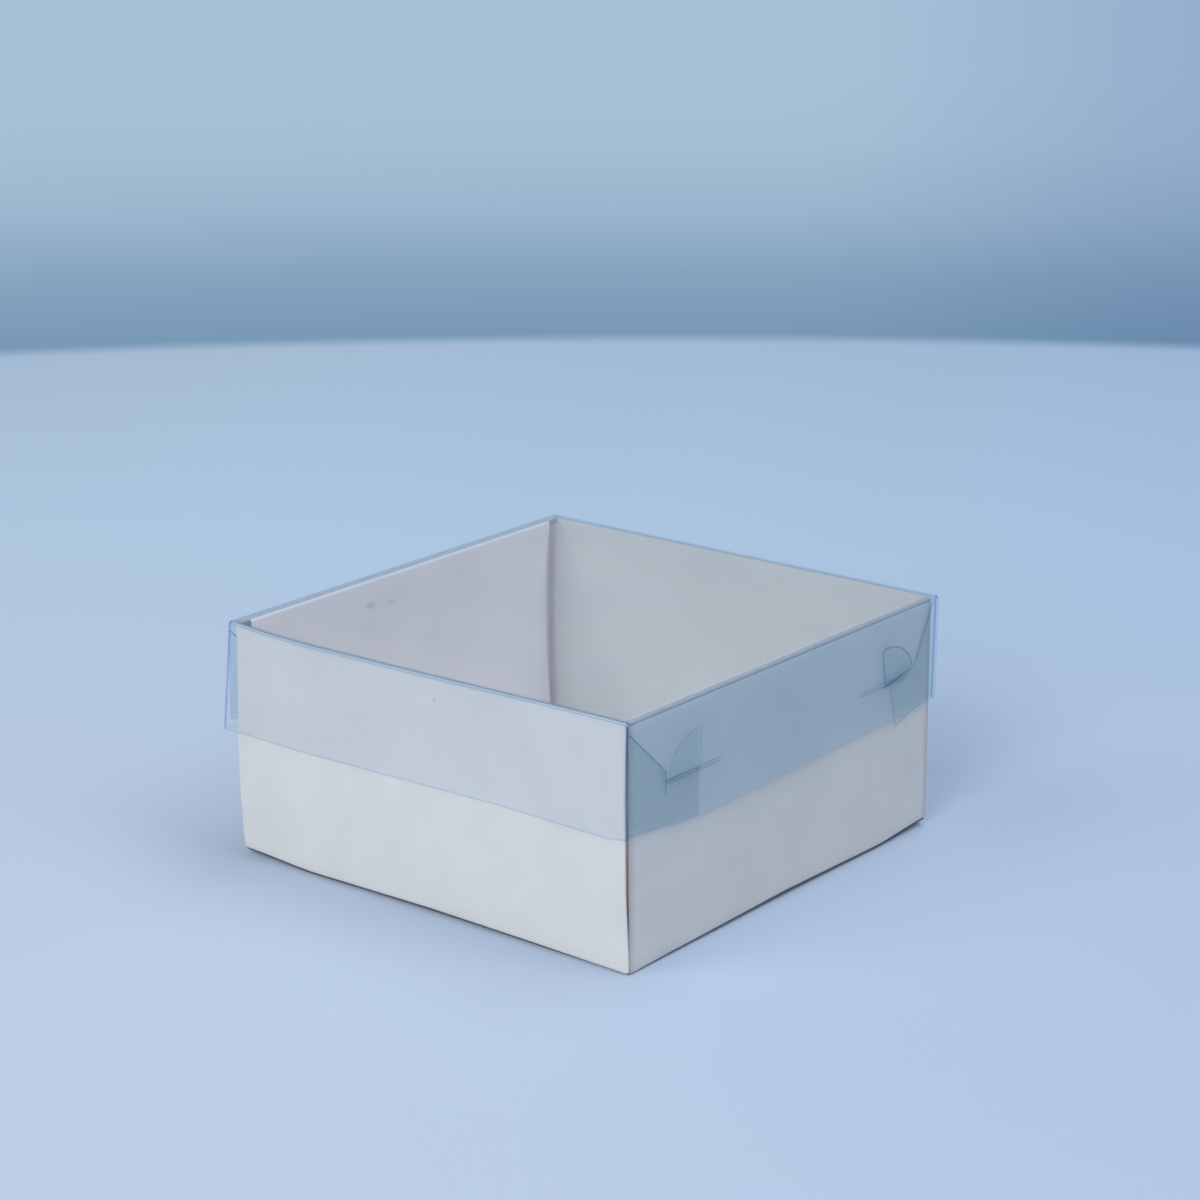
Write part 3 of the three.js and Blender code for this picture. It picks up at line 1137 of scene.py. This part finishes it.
CAMERA_AT = Vector((0.30937, -0.37956, 0.19022))
CAMERA_LENS = 95.377
CAMERA_TURN, CAMERA_DIP, CAMERA_ROLL = 38.946, 16.947, -0.3006  # degrees
camera = bpy.data.objects.new("camera", bpy.data.cameras.new("camera"))
camera.data.lens = CAMERA_LENS
camera.data.sensor_width = 36
turned = (
    Matrix.Rotation(radians(CAMERA_TURN), 4, "Z")
    @ Matrix.Rotation(radians(90 - CAMERA_DIP), 4, "X")
    @ Matrix.Rotation(radians(CAMERA_ROLL), 4, "Z")
)
camera.matrix_world = Matrix.Translation(CAMERA_AT) @ turned
bpy.context.scene.collection.objects.link(camera)
bpy.context.scene.camera = camera

FLOOR_END = (0.868, 0.886)  # distances from below the camera at which the floor melts away
RIGHTWARD = (0.778, 0.628, 0)
ONWARD = (-0.628, 0.778, 0)


def painted_shade_along(tree, place, way, low, high, tint, base):
    """Painted shade and light: multiplies a colour by a tint further along a way; the place is a point
    or a direction.
    """
    along = add(tree, "ShaderNodeVectorMath", operation="DOT_PRODUCT")
    along.inputs[1].default_value = way
    tree.links.new(place, along.inputs[0])
    share = fill(
        add(tree, "ShaderNodeMapRange", interpolation_type="SMOOTHSTEP"), From_Min=low, From_Max=high
    )
    tree.links.new(along.outputs["Value"], share.inputs["Value"])
    dimmed = add(tree, "ShaderNodeMix", data_type="RGBA", blend_type="MULTIPLY")
    dimmed.inputs[7].default_value = (*tint, 1)
    tree.links.new(share.outputs["Result"], dimmed.inputs["Factor"])
    if isinstance(base, tuple):
        dimmed.inputs[6].default_value = base
    else:
        tree.links.new(base, dimmed.inputs[6])
    return dimmed.outputs[2]


leave_edit_mode()
bpy.ops.object.select_all(action="DESELECT")
bpy.ops.mesh.primitive_circle_add(
    vertices=256,
    radius=FLOOR_END[1] + 0.002,
    fill_type="NGON",
    location=(CAMERA_AT.x, CAMERA_AT.y, -0.0001),
)
floor = bpy.context.active_object
floor.name = "floor"
floor_look = new_material("pale_floor")
tree = floor_look.node_tree
link = tree.links.new
place = add(tree, "ShaderNodeTexCoord")
world_place = add(tree, "ShaderNodeVectorMath", operation="ADD")
world_place.inputs[1].default_value = (CAMERA_AT.x, CAMERA_AT.y, 0)
far = add(tree, "ShaderNodeVectorMath", operation="LENGTH")
melt = fill(
    add(tree, "ShaderNodeMapRange", interpolation_type="SMOOTHSTEP"),
    From_Min=FLOOR_END[0],
    From_Max=FLOOR_END[1],
)
paint = fill(add(tree, "ShaderNodeBsdfPrincipled"), Roughness=0.8)
gone = add(tree, "ShaderNodeBsdfTransparent")
edge = add(tree, "ShaderNodeMixShader")
out = add(tree, "ShaderNodeOutputMaterial")
link(place.outputs["Object"], world_place.inputs[0])
at = world_place.outputs[0]
# Painted shade and light on the floor: darker and bluer to the right, a little brighter and bluer away
# from the camera
shaded = painted_shade_along(tree, at, RIGHTWARD, -0.15, 0.3, (0.8, 0.87, 0.95), colour(188, 204, 227))
shaded = painted_shade_along(tree, at, ONWARD, -0.02, 0.22, (0.99, 1.08, 1.09), shaded)
link(shaded, paint.inputs["Base Color"])
link(place.outputs["Object"], far.inputs[0])
link(far.outputs["Value"], melt.inputs["Value"])
link(melt.outputs["Result"], edge.inputs["Fac"])
link(paint.outputs[0], edge.inputs[1])
link(gone.outputs[0], edge.inputs[2])
link(edge.outputs[0], out.inputs["Surface"])
floor.data.materials.append(floor_look)


def area_light(name, at, size, power, tint):
    lamp = bpy.data.lights.new(name, "AREA")
    lamp.shape = "DISK"
    lamp.size = size
    lamp.energy = power
    lamp.color = tint
    made = bpy.data.objects.new(name, lamp)
    made.location = at
    made.rotation_mode = "QUATERNION"
    made.rotation_quaternion = (-Vector(at)).to_track_quat("-Z", "Y")
    bpy.context.scene.collection.objects.link(made)


WARM = (1, 0.965, 0.93)
COOL = (0.96, 0.985, 1)
area_light("low_key", (0.279, -0.911, 0.55), 0.5, 4.95, WARM)
area_light("left_fill", (-0.389, -0.674, 0.778), 0.6, 2.4, WARM)
area_light("right_top", (0.7, 0.1, 0.9), 0.6, 2.45, COOL)
area_light("back_top", (0.1, 0.35, 1.0), 0.8, 3.6, COOL)

world = bpy.data.worlds.new("studio")
bpy.context.scene.world = world
world.use_nodes = True
sky = world.node_tree
sky.nodes.clear()
link = sky.links.new
view_way = add(sky, "ShaderNodeTexCoord")
split = add(sky, "ShaderNodeSeparateXYZ")
ramp = add(sky, "ShaderNodeValToRGB")
height = fill(add(sky, "ShaderNodeMapRange"), From_Min=-0.212, From_Max=-0.112)
link(view_way.outputs["Generated"], split.inputs[0])
link(split.outputs["Z"], height.inputs["Value"])
link(height.outputs["Result"], ramp.inputs["Fac"])
# The backdrop seen by the camera is painted darker towards the horizon: painted shade
backdrop_painted_shades = [
    (0.0, (119, 152, 181)),
    (0.2, (134, 163, 190)),
    (0.4, (154, 181, 205)),
    (0.6, (166, 190, 213)),
    (0.8, (169, 193, 216)),
]
while len(ramp.color_ramp.elements) < len(backdrop_painted_shades):
    ramp.color_ramp.elements.new(0.5)
for stop, (position, shade) in zip(ramp.color_ramp.elements, backdrop_painted_shades):
    stop.position = position
    stop.color = colour(*shade)
backdrop = fill(add(sky, "ShaderNodeBackground"), Strength=1)
light = fill(add(sky, "ShaderNodeBackground"), Color=(0.92, 0.98, 1.05, 1), Strength=0.25)
looking = view_way.outputs["Generated"]
# Painted shade: the backdrop darker to the right
dimmed = painted_shade_along(sky, looking, RIGHTWARD, 0.05, 0.2, (0.76, 0.8, 0.89), ramp.outputs["Color"])
link(dimmed, backdrop.inputs["Color"])
path = add(sky, "ShaderNodeLightPath")
seen = path.outputs["Is Camera Ray"]
for kind in ("Is Glossy Ray", "Is Transmission Ray"):
    either = add(sky, "ShaderNodeMath", operation="MAXIMUM")
    link(seen, either.inputs[0])
    link(path.outputs[kind], either.inputs[1])
    seen = either.outputs[0]
mix = add(sky, "ShaderNodeMixShader")
link(seen, mix.inputs["Fac"])
link(light.outputs[0], mix.inputs[1])
link(backdrop.outputs[0], mix.inputs[2])
sky_out = add(sky, "ShaderNodeOutputWorld")
link(mix.outputs[0], sky_out.inputs["Surface"])

bpy.context.scene.view_settings.view_transform = "Standard"
